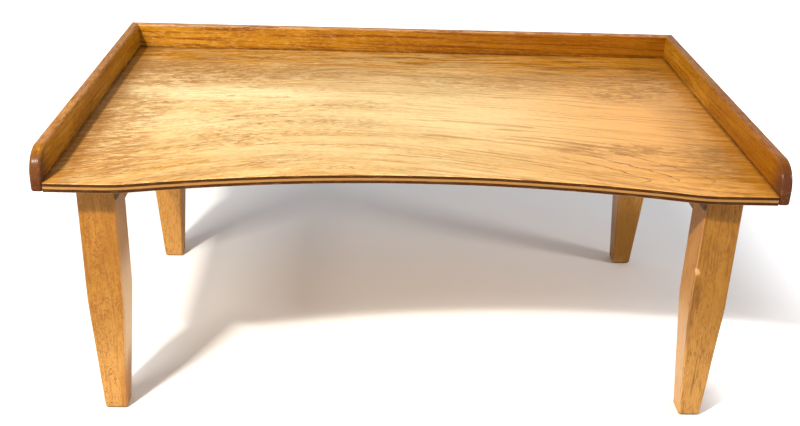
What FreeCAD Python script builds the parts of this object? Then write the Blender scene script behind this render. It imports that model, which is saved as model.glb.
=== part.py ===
import FreeCAD, Part
import math
import os

from FreeCAD import Vector

# Folding bed tray table: a shallow plywood tray on two wooden leg frames that fold
# inward on butt hinges. Millimetres. X runs along the tray, Y from the user's
# side (front, concave edge) to the back rail, Z up. The origin is on the floor,
# under the middle of the tray.

# ---- driving dimensions -------------------------------------------------------
tray_width = 600.0            # over the two side rails
tray_depth = 390.0            # front of the side rails to the back of the back rail
leg_height = 218.1            # floor to the underside of the panel

panel_thickness = 7.9         # 5/16 inch plywood
front_hollow_depth = 30.5     # how far the front edge is cut back at the middle
front_hollow_radius = 900.0
front_shoulder_radius = 100.0 # where the hollow runs out into the straight ends
panel_arris = 0.8             # bevel along the front edge

rail_height = 33.5            # from the panel's underside to the top of the rail
rail_thickness = 9.5
rail_nose_radius = 22.0       # quarter round at the front end of each side rail
rail_toe_radius = 2.5         # lower front corner of each side rail
rail_arris_radius = 2.5       # rounded top edge of the rails
tray_corner_radius = 4.0      # outer corners at the back

brad_width = 1.2              # square brads, glued and driven flush
brad_length = 24.0
brad_head_width = 2.4
brad_head_length = 1.0
side_brad_count = 4
back_brad_count = 6
brad_end_margin = 40.0        # first brad from the end of its rail
mitre_brad_heights = (13.0, 24.0)   # above the underside of the panel

leg_width = 31.0              # along X at the top
leg_depth = 34.0              # along Y at the top
leg_inset_side = 29.0         # outer side of the tray to the outer face of a leg
frame_inset_front = 20.0      # front of the tray to the front legs
frame_inset_back = 52.0       # back of the tray to the rear legs
knee_height = 110.0           # floor to the point where the taper starts
knee_radius = 160.0
taper_outer = 5.5             # taken off the outer side face between knee and foot
taper_inner = 6.5             # off the inner side face
taper_end = 2.0               # off the face towards the front or back of the tray
taper_between = 13.0          # off the faces that look at each other along Y
leg_arris = 1.2               # bevel along the corners of the legs and cross rails
foot_arris = 2.0

cross_rail_height = 28.5
cross_rail_thickness = 19.0
tenon_thickness = 8.0         # along X
tenon_height = 19.0
tenon_length = 16.0
tenon_end_gap = 1.0           # glue space at the bottom of each mortise

hinge_barrel_radius = 2.0
hinge_leaf_thickness = 0.9
hinge_leaf_width = 12.5       # from the pin's axis to the edge of the leaf
hinge_leaf_corner = 1.5
hinge_pin_radius = 0.9
pin_running_clearance = 0.06
knuckle_count = 3             # the outer ones belong to the leaf under the tray
knuckle_gap = 0.3
knuckle_side_clearance = 0.5  # leaf edge to the other leaf's knuckles
pin_end_recess = 0.3

cut_overrun = 1.0             # how far a cutter runs past what it cuts

# ---- worked out from them -----------------------------------------------------
underside = leg_height
panel_top = underside + panel_thickness
rail_top = underside + rail_height
front_y = -tray_depth / 2
back_y = tray_depth / 2
inner_half_width = tray_width / 2 - rail_thickness
inner_back_y = back_y - rail_thickness

leg_outer_x = tray_width / 2 - leg_inset_side
leg_inner_x = leg_outer_x - leg_width
frame_front_y = front_y + frame_inset_front
frame_back_y = back_y - frame_inset_back

hinge_axis_x = leg_inner_x - hinge_barrel_radius
hinge_axis_z = underside - hinge_barrel_radius
hinge_length = leg_depth
knuckle_pitch = hinge_length / knuckle_count
knuckle_bore = hinge_pin_radius + pin_running_clearance
left, right = -1, 1
slack = 0.01                  # for comparing places


def line(start, end):
    return Part.LineSegment(start, end).toShape()


def arc(start, middle, end):
    return Part.Arc(start, middle, end).toShape()


def cylinder(radius, length, base, direction):
    return Part.makeCylinder(radius, length, base, direction)


def slab(edges, direction):
    """Extrude a closed ring of edges along a direction."""
    wire = Part.Wire(Part.__sortEdges__(edges))
    return Part.Face(wire).extrude(direction)


def mirrored(shape, side):
    """Shapes are drawn on the right-hand side and mirrored for the left."""
    if side == right:
        return shape
    return shape.mirror(Vector(0, 0, 0), Vector(1, 0, 0))


def joined(shapes):
    first, rest = shapes[0], shapes[1:]
    return first.fuse(rest).removeSplitter() if rest else first


def edges_where(shape, test):
    """Edges whose every vertex and middle point pass the test."""
    picked = []
    for edge in shape.Edges:
        middle = edge.valueAt((edge.FirstParameter + edge.LastParameter) / 2)
        points = [vertex.Point for vertex in edge.Vertexes] + [middle]
        if all(test(point) for point in points):
            picked.append(edge)
    return picked


def near(value, target):
    return abs(value - target) < slack


# ---- tray ---------------------------------------------------------------------
def front_edge_points():
    """Where the hollow front edge starts, runs out and bottoms, on its right half."""
    reach = front_hollow_radius + front_shoulder_radius
    shoulder_x = math.sqrt(reach ** 2 - (reach - front_hollow_depth) ** 2)
    run_out_x = front_hollow_radius * shoulder_x / reach
    run_out_y = front_hollow_depth - front_hollow_radius
    run_out_y += front_hollow_radius * (reach - front_hollow_depth) / reach
    turn = math.asin(shoulder_x / reach) / 2
    middle_x = shoulder_x - front_shoulder_radius * math.sin(turn)
    middle_y = front_shoulder_radius * (1 - math.cos(turn))
    return shoulder_x, (run_out_x, run_out_y), (middle_x, middle_y)


def make_panel():
    shoulder_x, run_out, shoulder_middle = front_edge_points()

    def at(x, y):
        return Vector(x, front_y + y, underside)

    depth = tray_depth - rail_thickness
    corners = [at(shoulder_x, 0), at(inner_half_width, 0), at(inner_half_width, depth),
               at(-inner_half_width, depth), at(-inner_half_width, 0), at(-shoulder_x, 0)]
    edges = [line(a, b) for a, b in zip(corners, corners[1:])]
    for side in (left, right):
        edges.append(arc(at(side * shoulder_x, 0),
                         at(side * shoulder_middle[0], shoulder_middle[1]),
                         at(side * run_out[0], run_out[1])))
    edges.append(arc(at(-run_out[0], run_out[1]), at(0, front_hollow_depth),
                     at(run_out[0], run_out[1])))
    panel = slab(edges, Vector(0, 0, panel_thickness))
    front_limit = front_y + front_hollow_depth + slack
    front_edges = edges_where(
        panel, lambda p: p.y < front_limit
        and (near(p.z, underside) or near(p.z, panel_top)))
    return panel.makeChamfer(panel_arris, front_edges)


def outside_corner_cutter(side):
    """What is taken off the outer back corner of the tray to round it."""
    r = tray_corner_radius
    x = tray_width / 2
    block = Part.makeBox(r, r, rail_height, Vector(x - r, back_y - r, underside))
    post = cylinder(r, rail_height, Vector(x - r, back_y - r, underside), Vector(0, 0, 1))
    return mirrored(block.cut(post), side)


def mitre_half(side, belongs_to_back):
    """One half of a back corner, cut along the mitre."""
    outer_x = tray_width / 2 + rail_thickness
    inner_x = inner_half_width - rail_thickness
    near_y = inner_back_y - rail_thickness
    far_y = back_y + rail_thickness
    third = (inner_x, far_y) if belongs_to_back else (outer_x, near_y)
    corners = [(outer_x, far_y), (inner_x, near_y), third]
    points = [Vector(x, y, underside - cut_overrun) for x, y in corners]
    edges = [line(points[i], points[(i + 1) % 3]) for i in range(3)]
    return mirrored(slab(edges, Vector(0, 0, rail_height + 2 * cut_overrun)), side)


def make_side_rail(side):
    x = inner_half_width
    nose, toe = rail_nose_radius, rail_toe_radius
    share = 1 - math.sqrt(0.5)

    def at(y, z):
        return Vector(x, y, z)

    nose_middle = at(front_y + nose * share, rail_top - nose * share)
    toe_middle = at(front_y + toe * share, underside + toe * share)
    edges = [line(at(front_y + toe, underside), at(back_y, underside)),
             line(at(back_y, underside), at(back_y, rail_top)),
             line(at(back_y, rail_top), at(front_y + nose, rail_top)),
             arc(at(front_y + nose, rail_top), nose_middle, at(front_y, rail_top - nose)),
             line(at(front_y, rail_top - nose), at(front_y, underside + toe)),
             arc(at(front_y, underside + toe), toe_middle, at(front_y + toe, underside))]
    rail = slab(edges, Vector(rail_thickness, 0, 0))

    def on_rounded_rim(point):
        on_a_side = near(point.x, x) or near(point.x, x + rail_thickness)
        on_front = point.y < front_y + toe + slack
        on_nose = point.y < front_y + nose + slack and point.z > rail_top - nose - slack
        return on_a_side and (near(point.z, rail_top) or on_front or on_nose)

    rail = rail.makeFillet(rail_arris_radius, edges_where(rail, on_rounded_rim))
    rail = mirrored(rail, side)
    rail = rail.cut(mitre_half(side, True))
    return rail.cut(outside_corner_cutter(side))


def make_back_rail():
    rail = Part.makeBox(tray_width, rail_thickness, rail_height,
                        Vector(-tray_width / 2, inner_back_y, underside))
    top_edges = [edge for edge in edges_where(rail, lambda p: near(p.z, rail_top))
                 if edge.Length > tray_width / 2]
    rail = rail.makeFillet(rail_arris_radius, top_edges)
    for side in (left, right):
        rail = rail.cut(mitre_half(side, False))
        rail = rail.cut(outside_corner_cutter(side))
    return rail


def square_bar(width, length, start, direction):
    """A square bar along X or Y, centred on the line from its start."""
    end = start + direction * length
    half = Vector(width / 2, width / 2, width / 2)
    half -= Vector(*[abs(c) * width / 2 for c in direction])
    low = Vector(min(start.x, end.x), min(start.y, end.y), start.z) - half
    high = Vector(max(start.x, end.x), max(start.y, end.y), start.z) + half
    size = high - low
    return Part.makeBox(size.x, size.y, size.z, low)


def brad(head_point, inward):
    shank = square_bar(brad_width, brad_length, head_point, inward)
    head = square_bar(brad_head_width, brad_head_length, head_point, inward)
    return shank.fuse(head)


def evenly_spaced(first, last, count):
    step = (last - first) / (count - 1)
    return [first + i * step for i in range(count)]


def make_brads():
    """Brads through the rails into the panel's edges and across the mitres."""
    mid_panel = underside + panel_thickness / 2
    mid_back_rail = back_y - rail_thickness / 2
    brads = []
    for side in (left, right):
        outer_x = side * tray_width / 2
        inward = Vector(-side, 0, 0)
        first_y, last_y = front_y + brad_end_margin, inner_back_y - brad_end_margin
        for y in evenly_spaced(first_y, last_y, side_brad_count):
            brads.append(brad(Vector(outer_x, y, mid_panel), inward))
        for height in mitre_brad_heights:
            brads.append(brad(Vector(outer_x, mid_back_rail, underside + height), inward))
    reach = inner_half_width - brad_end_margin
    for x in evenly_spaced(-reach, reach, back_brad_count):
        brads.append(brad(Vector(x, back_y, mid_panel), Vector(0, -1, 0)))
    return brads


# ---- leg frames ---------------------------------------------------------------
def tapered_outline(one_face, other_face, one_taper, other_taper, at):
    """Outline of a leg in one view: straight to the knee, tapered to the foot.

    The two faces are given by their place at the top, and at() turns a place
    and a height into a point."""
    def face(position, taper, inward):
        foot = at(position + inward * taper, 0)
        slope = math.atan2(taper, knee_height)
        tangent = knee_radius * math.tan(slope / 2)
        start = at(position, knee_height + tangent)
        end = at(position + inward * tangent * math.sin(slope),
                 knee_height - tangent * math.cos(slope))
        sag = knee_radius * (1 - math.cos(slope / 2))
        middle = at(position + inward * sag,
                    knee_height + tangent - knee_radius * math.sin(slope / 2))
        return [line(at(position, underside), start), arc(start, middle, end),
                line(end, foot)], foot

    inward = 1 if other_face > one_face else -1
    one_edges, one_foot = face(one_face, one_taper, inward)
    other_edges, other_foot = face(other_face, other_taper, -inward)
    top = line(at(other_face, underside), at(one_face, underside))
    return one_edges + other_edges + [line(one_foot, other_foot), top]


def make_leg(side, outward_y):
    """A leg on the right-hand side; outward_y is -1 for the front leg, 1 for the rear."""
    outer_y = frame_front_y if outward_y < 0 else frame_back_y
    between_y = outer_y - outward_y * leg_depth
    across = tapered_outline(leg_outer_x, leg_inner_x, taper_outer, taper_inner,
                             lambda x, z: Vector(x, front_y, z))
    along = tapered_outline(outer_y, between_y, taper_end, taper_between,
                            lambda y, z: Vector(0, y, z))
    leg = slab(across, Vector(0, tray_depth, 0))
    leg = leg.common(slab(along, Vector(tray_width, 0, 0)))
    upright = [edge for edge in leg.Edges if edge.BoundBox.ZLength > knee_height / 2]
    leg = leg.makeChamfer(leg_arris, upright)
    leg = leg.makeChamfer(foot_arris, edges_where(leg, lambda p: near(p.z, 0)))
    return mirrored(leg, side)


def make_cross_rail(side):
    """The rail between the two legs of a frame, with a stub tenon at each end."""
    y = frame_front_y + leg_depth
    length = frame_back_y - leg_depth - y
    rail = Part.makeBox(cross_rail_thickness, length, cross_rail_height,
                        Vector(leg_inner_x, y, underside - cross_rail_height))
    lower = edges_where(rail, lambda p: near(p.z, underside - cross_rail_height))
    lower = [edge for edge in lower if edge.Length > leg_depth]
    rail = rail.makeChamfer(leg_arris, lower)
    return mirrored(joined([rail, tenons(0)]), side)


def tenons(extra_length):
    """The bar that both tenons of a right-hand cross rail are the ends of."""
    start = frame_front_y + leg_depth - tenon_length - extra_length
    end = frame_back_y - leg_depth + tenon_length + extra_length
    corner = Vector(leg_inner_x + (cross_rail_thickness - tenon_thickness) / 2, start,
                    underside - (cross_rail_height + tenon_height) / 2)
    return Part.makeBox(tenon_thickness, end - start, tenon_height, corner)


# ---- hinges -------------------------------------------------------------------
def make_leaf(on_frame):
    """One leaf with its knuckles, drawn round a pin along Y through the origin.

    The leaf lies flat above the pin and runs towards +X. The leaf under the tray
    has the outer knuckles, the leaf on the frame the ones between."""
    r, t = hinge_barrel_radius, hinge_leaf_thickness
    notch = r + knuckle_side_clearance
    plate = Part.makeBox(hinge_leaf_width - notch, hinge_length, t, Vector(notch, 0, r - t))
    corners = [edge for edge in edges_where(plate, lambda p: near(p.x, hinge_leaf_width))
               if near(edge.Length, t)]
    plate = plate.makeFillet(hinge_leaf_corner, corners)
    pieces = [plate]
    for i in range(1 if on_frame else 0, knuckle_count, 2):
        start = i * knuckle_pitch + (knuckle_gap / 2 if i > 0 else 0)
        end = (i + 1) * knuckle_pitch - (knuckle_gap / 2 if i < knuckle_count - 1 else 0)
        barrel = cylinder(r, end - start, Vector(0, start, 0), Vector(0, 1, 0))
        tongue = Part.makeBox(notch + t, end - start, t, Vector(0, start, r - t))
        pieces.append(barrel.fuse(tongue))
    bore = cylinder(knuckle_bore, hinge_length + 2 * cut_overrun,
                    Vector(0, -cut_overrun, 0), Vector(0, 1, 0))
    leaf = joined(pieces).cut(bore)
    return laid_on_frame(leaf) if on_frame else leaf


def laid_on_frame(shape):
    """Turn what is drawn for the tray's leaf to the frame's: +X to -Z, +Z to -X."""
    shape.rotate(Vector(0, 0, 0), Vector(0, 1, 0), 90)
    return shape.mirror(Vector(0, 0, 0), Vector(1, 0, 0))


def make_pin():
    length = hinge_length - 2 * pin_end_recess
    return cylinder(hinge_pin_radius, length, Vector(0, pin_end_recess, 0), Vector(0, 1, 0))


def at_hinge(shape, side, hinge_y):
    """Move a shape drawn round the pin of a left-hand hinge to its place."""
    shape.translate(Vector(-hinge_axis_x, hinge_y, hinge_axis_z))
    return mirrored(shape, -side)


# ---- build --------------------------------------------------------------------
def build():
    brads = make_brads()
    nodes = {"tray_panel": make_panel().cut(brads),
             "back_rail": make_back_rail().cut(brads),
             "rail_brads": Part.makeCompound(brads)}
    hinge_places = (("front", frame_front_y), ("rear", frame_back_y - hinge_length))

    for side, side_name in ((left, "left"), (right, "right")):
        mortises = mirrored(tenons(tenon_end_gap), side)
        for end_name, hinge_y in hinge_places:
            name = side_name + "_" + end_name
            leg = make_leg(side, -1 if end_name == "front" else 1)
            nodes[name + "_leg"] = leg.cut(mortises)
            hinge = {"_hinge_tray_leaf": make_leaf(False), "_hinge_frame_leaf": make_leaf(True),
                     "_hinge_pin": make_pin()}
            for piece_name, piece in hinge.items():
                nodes[name + piece_name] = at_hinge(piece, side, hinge_y)
        nodes[side_name + "_side_rail"] = make_side_rail(side).cut(brads)
        nodes[side_name + "_cross_rail"] = make_cross_rail(side)
    return nodes


os.makedirs("parts", exist_ok=True)
for node, shape in sorted(build().items()):
    shape.exportStep("parts/" + node + ".step")
    print(node, len(shape.Solids), "solids", round(shape.Volume, 1), "mm3")
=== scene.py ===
import math

import bmesh
import bpy
from mathutils import Matrix, Vector


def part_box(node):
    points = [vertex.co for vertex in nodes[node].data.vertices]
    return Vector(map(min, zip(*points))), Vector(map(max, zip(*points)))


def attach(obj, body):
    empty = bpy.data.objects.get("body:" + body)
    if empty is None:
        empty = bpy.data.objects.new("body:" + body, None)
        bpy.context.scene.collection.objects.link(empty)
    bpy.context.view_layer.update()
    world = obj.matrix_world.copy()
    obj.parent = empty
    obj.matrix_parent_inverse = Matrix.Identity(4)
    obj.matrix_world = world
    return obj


# Bed tray table: the looks of a worn, varnished plywood tray on folding leg frames. Metres.

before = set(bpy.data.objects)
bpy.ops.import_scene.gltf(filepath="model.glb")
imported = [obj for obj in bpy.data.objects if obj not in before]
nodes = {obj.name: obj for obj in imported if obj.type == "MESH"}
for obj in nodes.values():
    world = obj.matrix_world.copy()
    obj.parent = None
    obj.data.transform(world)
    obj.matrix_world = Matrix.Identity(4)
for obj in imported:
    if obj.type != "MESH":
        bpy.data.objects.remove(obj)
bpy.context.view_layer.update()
mm = 0.001

panelLow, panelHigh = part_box("tray_panel")
railLow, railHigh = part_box("right_side_rail")
panelThickness = panelHigh.z - panelLow.z


def colour(red, green, blue):
    # a colour as the screen gives it, 0 to 255, turned into light by the screen's usual curve
    values = []
    for value in (red, green, blue):
        share = value / 255
        values.append(share / 12.92 if share <= 0.04045 else ((share + 0.055) / 1.055) ** 2.4)
    return (*values, 1)


# A finish, built out of shader nodes. Places are in metres on the part as it stands.
class Finish:
    def __init__(self, name):
        self.material = bpy.data.materials.new(name)
        self.material.use_nodes = True
        self.tree = self.material.node_tree
        self.tree.nodes.clear()
        self.surface = self.add("ShaderNodeBsdfPrincipled")
        output = self.add("ShaderNodeOutputMaterial")
        self.tree.links.new(self.surface.outputs[0], output.inputs[0])
        where = self.add("ShaderNodeTexCoord")
        self.place = where.outputs["Object"]
        self.x, self.y, self.z = self.parted(self.place)
        self.normalX = self.parted(where.outputs["Normal"])[0]

    def add(self, kind, **settings):
        node = self.tree.nodes.new(kind)
        for name, value in settings.items():
            setattr(node, name, value)
        return node

    def feed(self, socket, value):
        if isinstance(value, bpy.types.NodeSocket):
            self.tree.links.new(value, socket)
        else:
            socket.default_value = value

    def parted(self, vector):
        node = self.add("ShaderNodeSeparateXYZ")
        self.feed(node.inputs[0], vector)
        return node.outputs

    def vector(self, x, y, z):
        node = self.add("ShaderNodeCombineXYZ")
        for socket, value in zip(node.inputs, (x, y, z)):
            self.feed(socket, value)
        return node.outputs[0]

    def calc(self, operation, a, b=0.0, clamp=False):
        node = self.add("ShaderNodeMath", operation=operation, use_clamp=clamp)
        self.feed(node.inputs[0], a)
        self.feed(node.inputs[1], b)
        return node.outputs[0]

    def times(self, first, *others):
        for other in others:
            first = self.calc("MULTIPLY", first, other)
        return first

    def plus(self, first, *others):
        for other in others:
            first = self.calc("ADD", first, other)
        return first

    def minus(self, first, second):
        return self.calc("SUBTRACT", first, second)

    def larger(self, first, second):
        return self.calc("MAXIMUM", first, second)

    def weighed(self, start, *terms):
        # start, plus each value times its weight
        return self.plus(start, *(self.times(value, weight) for value, weight in terms))

    def rise(self, value, low, high, to=1.0):
        # 0 up to low and `to` from high on, with a soft step between; falls where high < low
        node = self.add("ShaderNodeMapRange", interpolation_type="SMOOTHSTEP")
        for socket, given in zip(node.inputs, (value, low, high, 0.0, to)):
            self.feed(socket, given)
        return node.outputs[0]

    def noise(self, vector, cells, shift=(0, 0, 0), detail=3.0, roughness=0.55):
        # cells: how many fit in a metre along X, Y and Z
        spread = self.add("ShaderNodeMapping")
        self.feed(spread.inputs["Vector"], vector)
        spread.inputs["Location"].default_value = shift
        spread.inputs["Scale"].default_value = cells
        node = self.add("ShaderNodeTexNoise")
        self.feed(node.inputs["Vector"], spread.outputs[0])
        node.inputs["Scale"].default_value = 1
        node.inputs["Detail"].default_value = detail
        node.inputs["Roughness"].default_value = roughness
        return node.outputs[0]

    def spot(self, centre, reach, soft):
        # 1 inside an ellipsoid and 0 outside it; a reach of None leaves that axis out;
        # soft: from 0 for a sharp rim to 1 for a very soft one
        total = 0.0
        for axis, middle, half in zip((self.x, self.y, self.z), centre, reach):
            if half is not None:
                offset = self.calc("DIVIDE", self.minus(axis, middle), half)
                total = self.plus(self.times(offset, offset), total)
        return self.rise(total, 1 + soft, 1 - soft)

    def mixed(self, share, first, second):
        node = self.add("ShaderNodeMix", data_type="RGBA", clamp_factor=True)
        for socket, value in ((0, share), (6, first), (7, second)):     # 6 and 7 are the colours
            self.feed(node.inputs[socket], value)
        return node.outputs[2]

    def finish(self, base, roughness, height=None, depth=0.0, shine=0.5, metallic=0.0):
        # height: relief, from 0 to 1; depth: how deep that is; shine: how much light glances off
        self.feed(self.surface.inputs["Base Color"], base)
        self.feed(self.surface.inputs["Specular IOR Level"], shine)
        self.feed(self.surface.inputs["Roughness"], roughness)
        self.feed(self.surface.inputs["Metallic"], metallic)
        if height is not None:
            node = self.add("ShaderNodeBump")
            node.inputs["Strength"].default_value = 1
            node.inputs["Distance"].default_value = depth
            self.feed(node.inputs["Height"], height)
            self.feed(self.surface.inputs["Normal"], node.outputs[0])
        return self.material


def paint(names, material):
    for name in names:
        nodes[name].data.materials.clear()
        nodes[name].data.materials.append(material)


# The panel: honey-coloured veneer on plies, worn and stained. A fade is a pair of places or
# of noise values, where an effect starts and where it is full, with its share there if not 1.
panelLook = {
    "light": colour(219, 188, 130),
    "middle": colour(202, 169, 110),
    "dark": colour(160, 113, 58),
    "pore": colour(124, 78, 34),
    "golden": colour(188, 140, 76),
    "stain": colour(152, 108, 56),
    "warm": colour(222, 161, 87),
    "pale": colour(228, 202, 148),
    "deep": colour(176, 115, 20),
    "deepLine": colour(112, 68, 20),
    "thick": colour(160, 101, 14),
    "rubbed": colour(216, 164, 100),
    "darkPly": colour(58, 28, 2),
    "corePly": colour(142, 102, 54),

    "archHeight": 62 * mm,      # the grain lines rise towards the middle by this much
    "archGrowth": 0.34,         # and by more towards the front
    "archMiddle": -50 * mm,
    "archReach": 215 * mm,
    "sway": 26 * mm,            # how far the grain wanders from side to side
    "ringSpacing": 10 * mm,
    "ringWander": 4.6,          # in rings
    "ringsAtLeft": 0.35,        # share of the growth rings left in the worn left half
    "crowdAtRight": 0.25,       # share of the crowds of dashes left in the right half
    "fewestDashes": 0.18,       # share of the dashes outside the crowds
    "dashesLostOnPale": 0.6,
    "dashShare": (0.64, 0.24),  # how dark the dashes are at the right, and more at the left
    "warmMarks": (0.8, 0.6),    # how clearly the rings and the dashes show in the warm half
    "deepMarks": (1.0, 0.6),    # and in the painted deep shade
    "deepEven": 0.55,           # share of the painted deep shade that isn't broken up
    "deepAtBackRight": 0.6,
    "stainShare": 0.85,
    "thickEven": 0.60,
    "plyWobble": 0.05,          # share of the thickness
    "plyBlend": 0.015,
    "plyJoints": (0.03, 0.38, 0.64, 0.94),      # heights of the joints between the plies; the lowest sits so low that the back veneer's edge is painted as dark as a cross ply, as painted shade
    "upperFace": (0.3, 0.6),    # shares of the thickness where the upper face's wear fades in

    # fades along X and Y, from the middle of the tray
    "goldenX": (60 * mm, -200 * mm),
    "leftX": (100 * mm, -170 * mm),
    "warmX": (10 * mm, 250 * mm, 0.92),
    # where the painted deep shade fades in
    "deepY": [(30 * mm, 165 * mm, 0.86), (0 * mm, -210 * mm, 0.52)],
    "deepX": [(205 * mm, 305 * mm, 0.60), (-170 * mm, -320 * mm, 0.12)],
    "backRightX": (-20 * mm, 160 * mm, 0.45),
    "backRightY": (50 * mm, 140 * mm),
    "leftRailShadowX": (-256 * mm, -277 * mm, 0.36),
    "leftRailShadowEndX": (-287 * mm, -278 * mm),

    # fades by the distance from the rails
    "thickGap": (27 * mm, 3 * mm, 0.80),
    "grimeGap": (3.5 * mm, 0.4 * mm),

    "shine": 0.30,
    "shineLost": 0.22,          # on the plies and where the deep shade is painted
    "roughness": 0.32,
    "dashRoughness": 0.16,
    "wornRoughness": 0.18,
    "ringRelief": 0.4,
    "pitDepth": 0.10 * mm,

    # noises: cells in a metre along X, Y and Z, shift, detail, roughness
    "noises": {
        "sway": ((6, 9, 1), (3, 1, 0), 1.5),
        "ripple": ((90, 160, 1), (3, 3, 0)),
        "plyGrain": ((90, 90, 1100),),
        "plyWobble": ((22, 22, 1),),
    },
    "grainNoises": {
        "blotch": ((6, 26, 1), (7, 2, 0), 3, 0.6),
        "crowd": ((11, 60, 1), (2, 6, 0), 3, 0.6),
        "dash": ((150, 800, 1), (0, 4, 0), 3, 0.6),
        "pore": ((330, 1700, 1), (5, 0, 0), 2, 0.6),
        "glint": ((90, 520, 1), (0, 8, 0), 3, 0.6),
        "ragged": ((50, 170, 1), (9, 3, 0), 5, 0.75),
        "uneven": ((20, 130, 1), (8, 5, 0), 6, 0.8),
        "wander": ((4, 34, 1), (1, 9, 0), 4),
        "ring": ((10, 70, 1), (4, 4, 0), 3, 0.6),
        "band": ((9, 90, 1), (3, 5, 0), 5, 0.75),
    },

    # fades by the noise values
    "fades": {
        "middle": (0.36, 0.66),
        "glint": (0.50, 0.68, 0.60),
        "golden": (0.47, 0.58, 0.75),
        "pale": (0.36, 0.50),
        "ringDarkens": (0.45, 0.90),        # from one ring to the next, 0 to 1
        "ringEnds": (1.0, 0.93),
        "ring": (0.38, 0.62, 0.85),
        "tip": (0.36, 0.52),
        "crowd": (0.40, 0.62),
        "dash": (0.50, 0.62),
        "pore": (0.56, 0.68, 0.26),
        "deep": (0.44, 0.56, 0.60),
        "band": (0.47, 0.58, 0.90),
        "stain": (0.44, 0.54),
        "stainDash": (0.50, 0.60, 0.55),
        "rubbed": (0.47, 0.57),
        "thick": (0.42, 0.58, 0.45),
        "leftRailShadow": (0.36, 0.52),
        "grime": (0.25, 0.55, 0.80),
        "darkPly": (0.50, 0.75, 0.25),
        "corePly": (0.45, 0.65, 0.45),
    },

    # worn brown places, pale smooth ones between them, and some where the varnish is rubbed
    # thin: middle, reach along X and Y, strength
    "stains": [
        ((-0.262, -0.125), (0.036, 0.060), 0.95),
        ((-0.262, -0.030), (0.034, 0.070), 0.75),
        ((-0.240, 0.070), (0.050, 0.030), 0.70),
        ((-0.165, 0.100), (0.130, 0.022), 0.75),
        ((0.110, 0.085), (0.110, 0.030), 0.60),
        ((0.218, 0.070), (0.048, 0.044), 0.85),
        ((0.185, -0.098), (0.060, 0.016), 0.75),
        ((0.262, -0.118), (0.034, 0.034), 0.80),
        ((-0.268, -0.160), (0.026, 0.034), 0.85),
        ((-0.235, 0.118), (0.060, 0.022), 0.80),
    ],
    "palePlaces": [
        ((-0.180, 0.034), (0.115, 0.024), 1.00),
        ((-0.205, -0.050), (0.055, 0.022), 0.60),
        ((-0.100, -0.120), (0.080, 0.016), 0.40),
        ((0.060, -0.035), (0.090, 0.022), 0.35),
    ],
    "rubbedPlaces": [
        ((0.262, 0.066), (0.032, 0.040), 0.80),
        ((0.280, 0.010), (0.012, 0.026), 0.50),
    ],
    "placeSoftness": 0.9,

    # the pointed ends of the growth rings at the front right: tip, how far the two arms
    # spread at 50 mm behind it, how far the upper and the lower arm run, strength
    "ringTips": [
        ((0.1945, -0.1660), 0.0385, (0.085, 0.012), 0.75),
        ((0.2190, -0.1640), 0.0400, (0.090, 0.014), 0.70),
        ((0.2480, -0.1650), 0.0460, (0.130, 0.006), 0.60),
        ((0.1560, -0.1720), 0.0360, (0.070, 0.010), 0.35),
    ],
    "tipSpreadAt": 50 * mm,
    "tipCurve": 0.8,            # below 1 the arms bend towards each other
    "tipArms": ((1, 1.6 * mm), (-0.45, 1.2 * mm)),      # share of the spread, and line width
    "tipLineCore": 0.35,        # share of the width that is fully dark
    "tipStart": 0.5 * mm,
    "tipFades": 0.5,            # share of its run after which an arm fades
    "tipWander": 5 * mm,
}


def patchwork(f, places):
    total = 0.0
    for (middleX, middleY), (reachX, reachY), strength in places:
        patch = f.spot((middleX, middleY, 0), (reachX, reachY, None), panelLook["placeSoftness"])
        total = f.larger(f.times(patch, strength), total)
    return total


def tipLines(f, wander):
    # dark lines that widen from a point towards -X, as the rings of a flat-sawn sheet do
    look = panelLook
    total = 0.0
    for (tipX, tipY), spread, runs, strength in look["ringTips"]:
        back = f.minus(tipX, f.plus(f.x, wander))
        share = f.calc("DIVIDE", f.larger(back, 0.0), look["tipSpreadAt"])
        arm = f.times(f.calc("POWER", share, look["tipCurve"]), spread)
        aside = f.minus(f.plus(f.y, wander), tipY)
        for (side, width), run in zip(look["tipArms"], runs):
            offset = f.calc("ABSOLUTE", f.minus(aside, f.times(arm, side)))
            line = f.times(f.rise(offset, width, width * look["tipLineCore"], strength),
                           f.rise(back, -look["tipStart"], look["tipStart"]),
                           f.rise(back, run, run * look["tipFades"]))
            total = f.larger(line, total)
    return total


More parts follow.
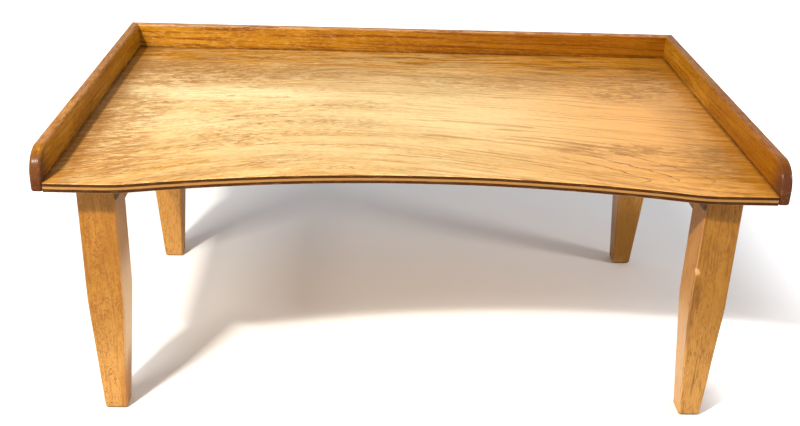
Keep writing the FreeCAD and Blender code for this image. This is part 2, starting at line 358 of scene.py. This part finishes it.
def panelFinish():
    look = panelLook
    noises = look["noises"]
    f = Finish("panelVeneer")

    def fade(effect, noise):
        return f.rise(noise, *look["fades"][effect])

    # the grain rises to a low arch in the middle
    offset = f.calc("DIVIDE", f.minus(f.x, look["archMiddle"]), look["archReach"])
    bell = f.calc("EXPONENT", f.times(offset, offset, -1.0))
    sway = f.times(f.noise(f.place, *noises["sway"]), look["sway"])
    rising = f.minus(look["archHeight"], f.times(f.y, look["archGrowth"]))
    across = f.plus(f.minus(f.y, f.times(bell, rising)), sway)
    grain = f.vector(f.x, across, f.z)
    grainNoise = {name: f.noise(grain, *noise) for name, noise in look["grainNoises"].items()}
    ragged, uneven = grainNoise["ragged"], grainNoise["uneven"]

    base = f.mixed(fade("middle", grainNoise["blotch"]), look["light"], look["middle"])
    base = f.mixed(fade("glint", grainNoise["glint"]), base, look["pale"])
    goldenX = f.rise(f.x, *look["goldenX"])
    base = f.mixed(f.times(fade("golden", ragged), goldenX), base, look["golden"])

    # the wear of the upper face isn't on the underside
    upper = f.rise(f.z, *(panelLow.z + share * panelThickness for share in look["upperFace"]))
    pale = f.times(patchwork(f, look["palePlaces"]), fade("pale", uneven), upper)
    base = f.mixed(pale, base, look["pale"])

    # growth rings: each darkens slowly and ends sharply
    wander = f.times(grainNoise["wander"], look["ringWander"])
    ring = f.calc("FRACT", f.plus(f.calc("DIVIDE", across, look["ringSpacing"]), wander))
    leftX = f.rise(f.x, *look["leftX"])
    rings = f.times(fade("ringDarkens", ring), fade("ringEnds", ring),
                    fade("ring", grainNoise["ring"]),
                    f.weighed(1.0, (leftX, look["ringsAtLeft"] - 1)))
    base = f.mixed(rings, base, look["dark"])

    # pores, in short dark dashes, crowded in some places and fewer at the right
    dash = fade("dash", grainNoise["dash"])
    fewer = look["crowdAtRight"]
    crowd = f.times(fade("crowd", grainNoise["crowd"]), f.weighed(fewer, (leftX, 1 - fewer)))
    dashes = f.times(dash, f.plus(crowd, look["fewestDashes"]),
                     f.weighed(1.0, (pale, -look["dashesLostOnPale"])))
    shareAtRight, moreAtLeft = look["dashShare"]
    dashShare = f.weighed(shareAtRight, (goldenX, moreAtLeft))
    base = f.mixed(f.times(dashes, dashShare), base, look["pore"])
    base = f.mixed(fade("pore", grainNoise["pore"]), base, look["pore"])

    # warmer to the right, where the veneer is worn less
    ringShare, markShare = look["warmMarks"]
    warmLines = f.larger(f.times(rings, ringShare), f.times(dashes, markShare))
    warm = f.mixed(warmLines, look["warm"], look["dark"])
    base = f.mixed(f.rise(f.x, *look["warmX"]), base, warm)

    # painted shade: the veneer is darker and deeper in tone towards the edges, unevenly, and most
    # at the back right, where the lamps' light falls off
    deep = 0.0
    for axis, spans in ((f.y, look["deepY"]), (f.x, look["deepX"])):
        for span in spans:
            deep = f.calc("ADD", deep, f.rise(axis, *span), clamp=True)
    broken = f.plus(fade("deep", uneven), look["deepEven"])
    deep = f.calc("MULTIPLY", deep, broken, clamp=True)
    backRight = f.times(f.rise(f.y, *look["backRightY"]), f.rise(f.x, *look["backRightX"]))
    deep = f.larger(deep, f.weighed(backRight, (deep, look["deepAtBackRight"])))
    ringShare, markShare = look["deepMarks"]
    lines = f.larger(f.times(rings, ringShare), f.times(dash, markShare))
    lines = f.larger(lines, fade("band", grainNoise["band"]))
    base = f.mixed(deep, base, f.mixed(lines, look["deep"], look["deepLine"]))

    # ends of the rings, stains with dark dashes in them, and places rubbed thin
    ripple = f.minus(f.noise(f.place, *noises["ripple"]), 0.5)
    tips = tipLines(f, f.times(ripple, look["tipWander"]))
    tips = f.times(tips, fade("tip", ragged), upper)
    base = f.mixed(tips, base, look["deepLine"])
    stained = f.times(patchwork(f, look["stains"]), upper)
    worn = f.times(stained, fade("stain", ragged))
    base = f.mixed(f.times(worn, look["stainShare"]), base, look["stain"])
    rubbed = f.times(patchwork(f, look["rubbedPlaces"]), fade("rubbed", grainNoise["glint"]),
                     upper)
    base = f.mixed(rubbed, base, look["rubbed"])
    base = f.mixed(f.times(stained, fade("stainDash", grainNoise["dash"])), base, look["pore"])

    # the varnish is thickest beside the side rails, and beside the left one painted shadow widens
    # the soft edge of the rail's cast shadow
    sideGap = f.minus(panelHigh.x, f.calc("ABSOLUTE", f.x))
    thick = f.times(f.rise(sideGap, *look["thickGap"]),
                    f.plus(fade("thick", uneven), look["thickEven"]), upper)
    base = f.mixed(thick, base, look["thick"])
    # painted shadow: a soft dark strip just past the left rail's cast shadow
    leftRailShadow = f.times(f.rise(f.x, *look["leftRailShadowX"]), f.rise(f.x, *look["leftRailShadowEndX"]),
                   fade("leftRailShadow", uneven), upper)
    base = f.mixed(leftRailShadow, base, look["deepLine"])

    # grime along the foot of the rails
    gap = f.calc("MINIMUM", sideGap, f.minus(panelHigh.y, f.y))
    grime = f.times(f.rise(gap, *look["grimeGap"]), fade("grime", ragged))
    base = f.mixed(grime, base, look["pore"])

    # plies, seen on the front edge, with painted shade on the back veneer's edge
    wobble = f.minus(f.noise(f.place, *noises["plyWobble"]), 0.5)
    height = f.calc("DIVIDE", f.minus(f.z, panelLow.z), panelThickness)
    height = f.weighed(height, (wobble, look["plyWobble"]))
    blend = look["plyBlend"]
    steps = [f.rise(height, joint - blend, joint + blend) for joint in look["plyJoints"]]
    inside = f.minus(steps[0], steps[3])
    core = f.minus(steps[1], steps[2])
    plyGrain = f.noise(f.place, *noises["plyGrain"])
    darkPly = f.mixed(fade("darkPly", plyGrain), look["darkPly"], look["dark"])
    corePly = f.mixed(fade("corePly", plyGrain), look["corePly"], look["dark"])
    base = f.mixed(inside, base, f.mixed(core, darkPly, corePly))

    roughness = f.weighed(look["roughness"], (grainNoise["dash"], look["dashRoughness"]),
                          (worn, look["wornRoughness"]))
    shine = f.weighed(look["shine"], (f.larger(inside, deep), -look["shineLost"]))
    relief = f.times(f.weighed(dashes, (rings, look["ringRelief"])), -1.0)
    return f.finish(base, roughness, relief, look["pitDepth"], shine)


paint(["tray_panel"], panelFinish())


# The rails: orange-brown varnished hardwood, worn pale along the top, with painted shade on the
# side rails' tops and along the back rail
railLook = {
    "light": colour(176, 120, 26),
    "middle": colour(149, 95, 10),
    "dark": colour(102, 52, 3),
    "pore": colour(68, 34, 5),
    "deep": colour(130, 72, 2),
    "worn": colour(186, 142, 104),
    "end": colour(74, 40, 26),
    "glint": colour(196, 148, 82),
    "grainSlope": 0.015,
    "endReach": (28 * mm, 2 * mm),      # distances behind the nose where its dark colour fades in
    "endShare": 0.92,
    "topReach": (2.2 * mm, 0.2 * mm),   # distances below the top where its wear fades in
    "topDark": 0.45,
    "footReach": (4 * mm, 0.5 * mm),    # distances above the panel where the grime fades in
    "footShare": 0.75,
    "deepShare": 0.85,
    "poreShare": 0.35,
    "roughness": 0.16,
    "streakRoughness": 0.16,
    "wornRoughness": 0.20,
    "streakRelief": 0.4,
    "poreRelief": -0.5,
    "pitDepth": 0.10 * mm,
    "fades": {      # noise values between which each effect fades in
        "middle": (0.36, 0.64),
        "streak": (0.47, 0.64),
        "glint": (0.46, 0.74),
        "pore": (0.55, 0.68),
        "worn": (0.38, 0.60),
        "end": (0.20, 0.45),
        "grime": (0.30, 0.60),
    },
}

# how the rails differ: the axis they lie along, the noise's shift, the places along it where
# the rail starts to darken and is darkest (painted shade on the back rail), and the shares of each
# kind of mark
railWoods = {
    "back_rail": {
        "name": "backRailWood", "alongX": True, "shift": 3.0,
        "deepens": (-290 * mm, 210 * mm), "topWear": 0.75, "streaks": 0.90, "glints": 0.65,
        "shine": 0.22,
    },
    "left_side_rail": {
        "name": "leftRailWood", "alongX": False, "shift": 11.0,
        "deepens": (-300 * mm, -500 * mm), "topWear": 0.35, "streaks": 0.50, "glints": 0.20,
        "shine": 0.05,
    },
    "right_side_rail": {
        "name": "rightRailWood", "alongX": False, "shift": 17.0,
        "deepens": (125 * mm, -175 * mm), "topWear": 0.20, "streaks": 0.50, "glints": 0.20,
        "shine": 0.10,
    },
}


def railFinish(name, alongX, shift, deepens, topWear, streaks, glints, shine):
    look = railLook
    f = Finish(name)

    def fade(effect, noise, share=1.0):
        return f.rise(noise, *look["fades"][effect], share)

    along, across = (f.x, f.y) if alongX else (f.y, f.x)
    grain = f.vector(along, across, f.weighed(f.z, (along, look["grainSlope"])))
    cloud = f.noise(grain, (12, 30, 60), (shift, 0, 2))
    streak = f.noise(grain, (9, 300, 330), (shift, 1, 5), 4, 0.7)
    pore = f.noise(grain, (110, 900, 900), (shift, 4, 0), 2)
    glint = f.noise(grain, (150, 600, 520), (0, shift, 0), 4, 0.75)
    patchy = f.noise(grain, (70, 400, 400), (shift, 7, 7), 4, 0.7)

    base = f.mixed(fade("middle", cloud), look["light"], look["middle"])
    # darker along the rail between the two places; on the back rail this is painted shade
    deep = f.rise(along, *deepens, look["deepShare"])
    base = f.mixed(deep, base, look["deep"])
    base = f.mixed(fade("streak", streak, streaks), base, look["dark"])
    glow = f.times(fade("glint", glint, glints), f.minus(1.0, deep))
    base = f.mixed(glow, base, look["glint"])
    pores = fade("pore", pore)
    base = f.mixed(f.times(pores, look["poreShare"]), base, look["pore"])

    top = f.rise(f.z, *(railHigh.z - reach for reach in look["topReach"]))
    # painted shade: the side rails' tops darker, against the key lamp's light on them
    if not alongX:
        base = f.mixed(f.times(top, look["topDark"]), base, look["dark"])
    worn = f.times(top, fade("worn", patchy, topWear))
    base = f.mixed(worn, base, look["worn"])
    if not alongX:
        nose = f.rise(f.y, *(railLow.y + reach for reach in look["endReach"]), look["endShare"])
        base = f.mixed(f.times(nose, fade("end", patchy)), base, look["end"])
    # grime where the rail meets the panel
    foot = f.rise(f.z, *(panelHigh.z + reach for reach in look["footReach"]), look["footShare"])
    base = f.mixed(f.times(foot, fade("grime", patchy)), base, look["pore"])

    roughness = f.weighed(look["roughness"], (streak, look["streakRoughness"]),
                          (worn, look["wornRoughness"]))
    relief = f.weighed(0.0, (streak, look["streakRelief"]), (pores, look["poreRelief"]))
    return f.finish(base, roughness, relief, look["pitDepth"], shine)


for railName, railWood in railWoods.items():
    paint([railName], railFinish(**railWood))
print("tray finishes on")


# The legs and cross rails: orange-tan wood with short dark flecks
legLook = {
    "light": colour(153, 105, 37),
    "middle": colour(134, 88, 20),
    "dark": colour(108, 64, 12),
    "fleck": colour(98, 54, 12),
    "mottle": colour(134, 78, 18),
    "foot": colour(188, 136, 70),
    "paleLitAndWorn": colour(214, 180, 144),
    "chip": colour(196, 148, 98),
    "footZ": (135 * mm, 15 * mm, 0.80),     # heights where the paler foot fades in, and its share
    "mottleZ": (30 * mm, 130 * mm),
    "groundZ": (3.5 * mm, 0.5 * mm, 0.60),  # painted contact shade: the dark rim where a foot touches the ground
    "wornReach": 52 * mm,
    "wornSoftness": 0.95,
    "markSoftness": 0.7,
    "fewestFlecks": 0.45,
    "glintShare": 0.40,
    "facing": (0.50, 0.92),     # how squarely a face looks inwards, for the painted light on the inner face
    "shine": 0.20,
    "roughness": 0.36,
    "fibreRoughness": 0.2,
    "fibreRelief": 0.5,
    "fleckRelief": -0.4,
    "pitDepth": 0.05 * mm,
    "fades": {      # noise values between which each effect fades in
        "middle": (0.34, 0.66),
        "fibre": (0.48, 0.66),
        "glint": (0.54, 0.72),
        "mottle": (0.44, 0.62),
        "fleck": (0.50, 0.64),
        "crowd": (0.38, 0.60),
        "mark": (0.30, 0.50),
    },
}

# how they differ. flecks, streaks, mottles: shares; fleckGrain: higher for shorter flecks;
# paleness: how pale the whole leg is; inner: the way the inner face looks (-1 or 1), how much
# painted light pales it overall, how pale at its worn place and that place's height; marks:
# middle, reach along X, Y and Z, strength, colour
legWoods = {
    "left_front_leg": {
        "name": "leftFrontLegWood", "shift": 2.0, "flecks": 0.50, "streaks": 0.45,
        "fleckGrain": 420, "mottles": 0.85, "inner": (1, 0.18, 0.80, 88 * mm),
        "marks": [
            ((-0.2450, -0.1600, 0.0100), (7.0 * mm, 22 * mm, 42 * mm), 0.65, "mottle"),
        ],
    },
    "right_front_leg": {
        "name": "rightFrontLegWood", "shift": 5.0, "flecks": 0.42, "streaks": 0.60,
        "fleckGrain": 180, "mottles": 0.25, "inner": (-1, 0.06, 0.30, 55 * mm),
        "marks": [
            # painted shade: darker along the arris, against the highlight the key lamp puts on it
            ((0.2404, -0.1746, 0.1300), (2.4 * mm, 2.4 * mm, 130 * mm), 0.45, "dark"),
            ((0.2436, -0.1750, 0.1080), (4.2 * mm, 3.0 * mm, 34 * mm), 0.60, "fleck"),
            ((0.2402, -0.1748, 0.1500), (0.8 * mm, 0.8 * mm, 62 * mm), 0.34, "chip"),
            ((0.2420, -0.1750, 0.1462), (2.2 * mm, 2.2 * mm, 2.3 * mm), 0.90, "chip"),
            ((0.2410, -0.1745, 0.1486), (2.2 * mm, 2.2 * mm, 1.9 * mm), 0.90, "chip"),
            ((0.2400, -0.1668, 0.1480), (1.5 * mm, 1.5 * mm, 2.4 * mm), 0.90, "fleck"),
            ((0.2545, -0.1750, 0.0420), (0.9 * mm, 4.0 * mm, 22 * mm), 0.55, "fleck"),
            ((0.2590, -0.1750, 0.1700), (7.5 * mm, 4.0 * mm, 6.5 * mm), 0.22, "fleck"),
        ],
    },
    "left_rear_leg": {
        "name": "leftRearLegWood", "shift": 8.0, "flecks": 0.45, "streaks": 0.40,
        "fleckGrain": 260, "mottles": 0.25, "paleness": 0.6,
    },
    "right_rear_leg": {
        "name": "rightRearLegWood", "shift": 13.0, "flecks": 0.35, "streaks": 0.55,
        "fleckGrain": 260, "mottles": 0.25, "paleness": 0.6,
        "inner": (-1, 0.40, 0.50, 150 * mm),
        "marks": [
            ((0.2560, 0.1260, 0.0100), (26 * mm, 34 * mm, 80 * mm), 0.75, "middle"),
        ],
    },
    "left_cross_rail": {
        "name": "leftCrossRailWood", "shift": 19.0, "flecks": 0.50, "streaks": 0.60,
        "fleckGrain": 260, "mottles": 0.25, "alongY": True,
    },
    "right_cross_rail": {
        "name": "rightCrossRailWood", "shift": 23.0, "flecks": 0.50, "streaks": 0.60,
        "fleckGrain": 260, "mottles": 0.25, "alongY": True,
    },
}


def legFinish(name, shift, flecks, streaks, fleckGrain, mottles, paleness=0.0, inner=None,
              marks=(), alongY=False):
    look = legLook
    f = Finish(name)

    def fade(effect, noise, share=1.0):
        return f.rise(noise, *look["fades"][effect], share)

    grain = f.vector(f.x, f.z, f.y) if alongY else f.place
    cloud = f.noise(grain, (34, 34, 14), (shift, 0, shift), 3, 0.6)
    fibre = f.noise(grain, (700, 700, 40), (0, shift, 3), 4, 0.65)
    fleck = f.noise(grain, (1150, 1150, fleckGrain), (shift, 2, 0), 3, 0.6)
    crowd = f.noise(grain, (70, 70, 34), (2, shift, 0))
    glint = f.noise(grain, (700, 700, 120), (1, 1, shift), 2, 0.7)
    mottle = f.noise(grain, (420, 420, 170), (shift, 3, 1), 4, 0.7)

    base = f.mixed(fade("middle", cloud), look["light"], look["middle"])
    mottled = fade("mottle", mottle, mottles)
    if not alongY:
        low = f.larger(f.rise(f.z, *look["footZ"]), paleness)
        base = f.mixed(low, base, look["foot"])
        mottled = f.times(mottled, f.rise(f.z, *look["mottleZ"]))
    base = f.mixed(fade("fibre", fibre, streaks), base, look["dark"])
    base = f.mixed(fade("glint", glint, look["glintShare"]), base, look["light"])
    base = f.mixed(mottled, base, look["mottle"])
    crowded = f.plus(fade("crowd", crowd), look["fewestFlecks"])
    flecked = f.times(fade("fleck", fleck, flecks), crowded)
    base = f.mixed(flecked, base, look["fleck"])

    # the inner face paler: painted light over the face that looks inwards, and paler still at a
    # worn place
    if inner is not None:
        side, overall, atWorn, wornHeight = inner
        wornPlace = f.spot((0, 0, wornHeight), (None, None, look["wornReach"]),
                           look["wornSoftness"])
        share = f.weighed(overall, (wornPlace, atWorn - overall))
        facing = f.rise(f.times(f.normalX, side), *look["facing"])
        base = f.mixed(f.times(facing, share), base, look["paleLitAndWorn"])
    for centre, reach, strength, shade in marks:
        patch = f.times(f.spot(centre, reach, look["markSoftness"]), fade("mark", cloud, strength))
        base = f.mixed(patch, base, look[shade])
    # painted contact shade round the foot
    if not alongY:
        base = f.mixed(f.rise(f.z, *look["groundZ"]), base, look["fleck"])

    roughness = f.weighed(look["roughness"], (fibre, look["fibreRoughness"]))
    relief = f.weighed(0.0, (fibre, look["fibreRelief"]), (flecked, look["fleckRelief"]))
    return f.finish(base, roughness, relief, look["pitDepth"], look["shine"])


for legName, legWood in legWoods.items():
    paint([legName], legFinish(**legWood))
print("leg finishes on")


# Metal, from clean to aged in clouds
metalLook = {
    "brass": colour(150, 112, 60),
    "tarnish": colour(72, 48, 26),
    "steel": colour(150, 148, 142),
    "rust": colour(96, 66, 46),
    "cloudCells": (160, 160, 160),      # in a metre
    "scratchCells": (90, 1200, 90),
    "agingFade": (0.62, 0.78),  # noise values between which it turns aged where the share is 0
    "agingShift": 0.4,          # how much a share of 1 lowers them
    "metallic": 0.95,
    "metallicLost": 0.55,       # where it is aged
    "roughness": 0.25,
    "scratchRoughness": 0.15,
    "agedRoughness": 0.25,
    "scratchDepth": 0.02 * mm,
}


def metalFinish(name, clean, aged, agedShare):
    look = metalLook
    f = Finish(name)
    cloud = f.noise(f.place, look["cloudCells"], detail=4, roughness=0.65)
    scratch = f.noise(f.place, look["scratchCells"], detail=2)
    shift = look["agingShift"] * agedShare
    aging = f.rise(cloud, *(value - shift for value in look["agingFade"]))
    base = f.mixed(aging, look[clean], look[aged])
    roughness = f.weighed(look["roughness"], (scratch, look["scratchRoughness"]),
                          (aging, look["agedRoughness"]))
    metallic = f.weighed(look["metallic"], (aging, -look["metallicLost"]))
    return f.finish(base, roughness, scratch, look["scratchDepth"], metallic=metallic)


hingeMetal = metalFinish("hingeBrass", "brass", "tarnish", 0.90)
pinMetal = metalFinish("pinSteel", "steel", "rust", 0.3)
bradMetal = metalFinish("bradSteel", "steel", "rust", 0.6)
screwMetal = metalFinish("screwBrass", "brass", "tarnish", 0.45)
for side in ("left", "right"):
    for end in ("front", "rear"):
        start = side + "_" + end + "_hinge_"
        paint([start + "tray_leaf", start + "frame_leaf"], hingeMetal)
        paint([start + "pin"], pinMetal)
paint(["rail_brads"], bradMetal)
print("metal finishes on")


# The hinge screws: slotted, countersunk, two to a leaf
screwLook = {
    "headRadius": 2.3 * mm,
    "headHeight": 0.30 * mm,     # how far the raised head stands out of the leaf
    "domeEnd": 0.96,             # share of a quarter turn at which the dome becomes flat
    "slotWidth": 0.6 * mm,
    "slotDepth": 0.22 * mm,
    "fromLeafEnd": 8.0 * mm,
    "fromLeafEdge": 5.0 * mm,
    "leafThickness": 0.9 * mm,
    "rings": 6,
    "sides": 28,
    "firstTurn": 0.35,           # the way the first slot lies, in radians
    "turnToTray": 1.1,           # and how much further each next one is turned
    "turnToFrame": 0.8,
}


def linkedObject(name, mesh):
    made = bpy.data.objects.new(name, mesh)
    bpy.context.scene.collection.objects.link(made)
    return made


def boxObject(name, size):
    mesh = bpy.data.meshes.new(name)
    shape = bmesh.new()
    bmesh.ops.create_cube(shape, size=1)
    bmesh.ops.scale(shape, vec=size, verts=shape.verts)
    shape.to_mesh(mesh)
    shape.free()
    return linkedObject(name, mesh)


def domeMesh(name, radius, height):
    # a shallow dome on a flat back
    look = screwLook
    mesh = bpy.data.meshes.new(name)
    shape = bmesh.new()
    rings = []
    quarterTurn = math.pi / 2
    count = look["sides"]
    for ring in range(look["rings"] + 1):
        share = ring / look["rings"]
        reach = radius * math.cos(share * quarterTurn * look["domeEnd"])
        lift = height * math.sin(share * quarterTurn)
        row = []
        for side in range(count):
            turn = 2 * math.pi * side / count
            row.append(shape.verts.new((reach * math.cos(turn), reach * math.sin(turn), lift)))
        rings.append(row)
    for lower, upper in zip(rings, rings[1:]):
        for side in range(count):
            after = (side + 1) % count
            shape.faces.new((lower[side], lower[after], upper[after], upper[side]))
    shape.faces.new(rings[-1])
    shape.faces.new(list(reversed(rings[0])))
    shape.to_mesh(mesh)
    shape.free()
    return mesh


def screwHead(name, place, outward, slotTurn):
    # the dome, with a slot cut into it, turned to face outward
    look = screwLook
    radius, height = look["headRadius"], look["headHeight"]
    head = linkedObject(name, domeMesh(name, radius, height))

    slotSize = (2 * radius + mm, look["slotWidth"], 2 * look["slotDepth"])
    cutter = boxObject(name + "Cutter", slotSize)
    cutter.location = (0, 0, height)
    cut = head.modifiers.new("slot", "BOOLEAN")
    cut.operation = "DIFFERENCE"
    cut.object = cutter
    cut.solver = "EXACT"
    bpy.context.view_layer.update()
    graph = bpy.context.evaluated_depsgraph_get()
    head.data = bpy.data.meshes.new_from_object(head.evaluated_get(graph))
    head.modifiers.clear()
    bpy.data.objects.remove(cutter)

    turned = Vector((0, 0, 1)).rotation_difference(outward).to_matrix().to_4x4()
    turned = Matrix.Translation(place) @ turned @ Matrix.Rotation(slotTurn, 4, "Z")
    head.data.transform(turned)
    head.data.name = name
    return head


def finishScrew(head, body):
    head.data.materials.append(screwMetal)
    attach(head, body)


def makeScrews():
    look = screwLook
    inset, fromEdge, leaf = look["fromLeafEnd"], look["fromLeafEdge"], look["leafThickness"]
    turn = look["firstTurn"]
    for side, outSign in (("left", -1), ("right", 1)):
        for end in ("front", "rear"):
            leafLow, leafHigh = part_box(side + "_" + end + "_hinge_tray_leaf")
            frameLow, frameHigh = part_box(side + "_" + end + "_hinge_frame_leaf")
            inner = leafLow.x if outSign > 0 else leafHigh.x
            outer = frameHigh.x if outSign > 0 else frameLow.x
            for number, y in enumerate((leafLow.y + inset, leafHigh.y - inset)):
                name = f"{side}{end.capitalize()}Screw{number + 1}"
                trayPlace = Vector((inner + outSign * fromEdge, y, leafHigh.z - leaf))
                framePlace = Vector((outer - outSign * leaf, y, frameLow.z + fromEdge))
                turn += look["turnToTray"]
                head = screwHead(name + "Tray", trayPlace, Vector((0, 0, -1)), turn)
                finishScrew(head, "tray")
                turn += look["turnToFrame"]
                head = screwHead(name + "Frame", framePlace, Vector((-outSign, 0, 0)), turn)
                finishScrew(head, side + "_leg_frame")


makeScrews()
print("hinge screws in")


# The floor: pale paper, plain white to the camera far from the table, as a lit backdrop is; this
# painted light is pulled in far enough to lighten the shadows at the right and to hide most of the
# front right leg's shadow
floorLook = {
    "colour": (0.86, 0.85, 0.83, 1),
    "roughness": 0.75,
    "reach": 12.0,
    "whiteSide": (0.34, 0.58),          # where the white begins and is full, along X both ways
    "whiteBack": (0.38, 0.75),          # along Y both ways
    "whiteFrontRightX": (0.265, 0.335),
    "whiteFrontRightY": (0.02, -0.06),
}


def makeFloor():
    look = floorLook
    bpy.ops.mesh.primitive_plane_add(size=2 * look["reach"])
    floor = bpy.context.object
    floor.name = "floor"
    f = Finish("floorPaper")
    f.finish(look["colour"], look["roughness"])
    far = f.larger(f.rise(f.calc("ABSOLUTE", f.x), *look["whiteSide"]),
                   f.rise(f.calc("ABSOLUTE", f.y), *look["whiteBack"]))
    # painted light: white to the camera beside the front right leg, over most of its shadow
    frontRight = f.times(f.rise(f.x, *look["whiteFrontRightX"]),
                         f.rise(f.y, *look["whiteFrontRightY"]))
    far = f.larger(far, frontRight)
    seen = f.add("ShaderNodeLightPath").outputs["Is Camera Ray"]
    f.feed(f.surface.inputs["Emission Color"], (1, 1, 1, 1))
    f.feed(f.surface.inputs["Emission Strength"], f.times(far, seen))
    floor.data.materials.append(f.material)


# Light: the room's fill, seen by the camera as plain white, and three soft lamps
roomLook = {
    "fill": 0.50,
    "fillColour": (0.94, 0.98, 1.07, 1),
    "seen": 1.0,
    "seenColour": (1, 1, 1, 1),
}

# lamps: middle, the point it faces, length along X, width, watts, colour
lamps = {
    "key": ((-0.60, -0.87, 1.10), (-0.10, -0.05, 0.20), 0.12, 0.05, 25.5, (1.0, 0.96, 0.88)),
    "keySide": ((-0.90, -0.87, 1.10), (-0.10, -0.05, 0.20), 0.50, 0.05, 12.0, (1.0, 0.97, 0.92)),
    "rightSide": ((1.30, -0.40, 0.70), (0.0, 0.1, 0.1), 0.25, 0.25, 8.0, (1.0, 0.97, 0.94)),
}


def makeLamps():
    for name, (place, target, length, width, watts, tint) in lamps.items():
        lamp = bpy.data.lights.new(name, "AREA")
        lamp.shape = "RECTANGLE"
        lamp.size, lamp.size_y = length, width
        lamp.energy, lamp.color = watts, tint
        stand = bpy.data.objects.new(name, lamp)
        stand.location = place
        stand.rotation_mode = "QUATERNION"
        stand.rotation_quaternion = (Vector(target) - Vector(place)).to_track_quat("-Z", "Y")
        bpy.context.scene.collection.objects.link(stand)


def makeRoom():
    world = bpy.data.worlds.new("room")
    bpy.context.scene.world = world
    world.use_nodes = True
    tree = world.node_tree
    tree.nodes.clear()
    output = tree.nodes.new("ShaderNodeOutputWorld")
    choose = tree.nodes.new("ShaderNodeMixShader")
    path = tree.nodes.new("ShaderNodeLightPath")
    tree.links.new(path.outputs["Is Camera Ray"], choose.inputs[0])
    for socket, key in ((1, "fill"), (2, "seen")):
        light = tree.nodes.new("ShaderNodeBackground")
        light.inputs["Color"].default_value = roomLook[key + "Colour"]
        light.inputs["Strength"].default_value = roomLook[key]
        tree.links.new(light.outputs[0], choose.inputs[socket])
    tree.links.new(choose.outputs[0], output.inputs["Surface"])


# The camera: its place, which way it looks and its lens
cameraLook = {
    "place": (-36.1 * mm, -959.7 * mm, 560.9 * mm),
    "right": 1.892,            # degrees the view is turned to the right of +Y
    "down": 24.871,
    "roll": 1.842,
    "lens": 47.806,            # millimetres, on a sensor this wide:
    "sensor": 36,
    "near": 0.05,
    "far": 60,
}


def makeCamera():
    look = cameraLook
    data = bpy.data.cameras.new("view")
    data.sensor_width = look["sensor"]
    data.lens = look["lens"]
    data.clip_start = look["near"]
    data.clip_end = look["far"]
    right, down, roll = (math.radians(look[key]) for key in ("right", "down", "roll"))
    ahead = Vector((math.sin(right) * math.cos(down), math.cos(right) * math.cos(down),
                    -math.sin(down)))
    level = Vector((math.cos(right), -math.sin(right), 0))
    up = level.cross(ahead)
    across = math.cos(roll) * level + math.sin(roll) * up
    up = math.cos(roll) * up - math.sin(roll) * level
    turned = Matrix((across, up, -ahead)).transposed().to_4x4()
    camera = bpy.data.objects.new("view", data)
    camera.matrix_world = Matrix.Translation(look["place"]) @ turned
    bpy.context.scene.collection.objects.link(camera)
    bpy.context.scene.camera = camera


makeFloor()
makeLamps()
makeRoom()
makeCamera()
bpy.context.scene.view_settings.view_transform = 'Standard'
print("floor, light and camera set")
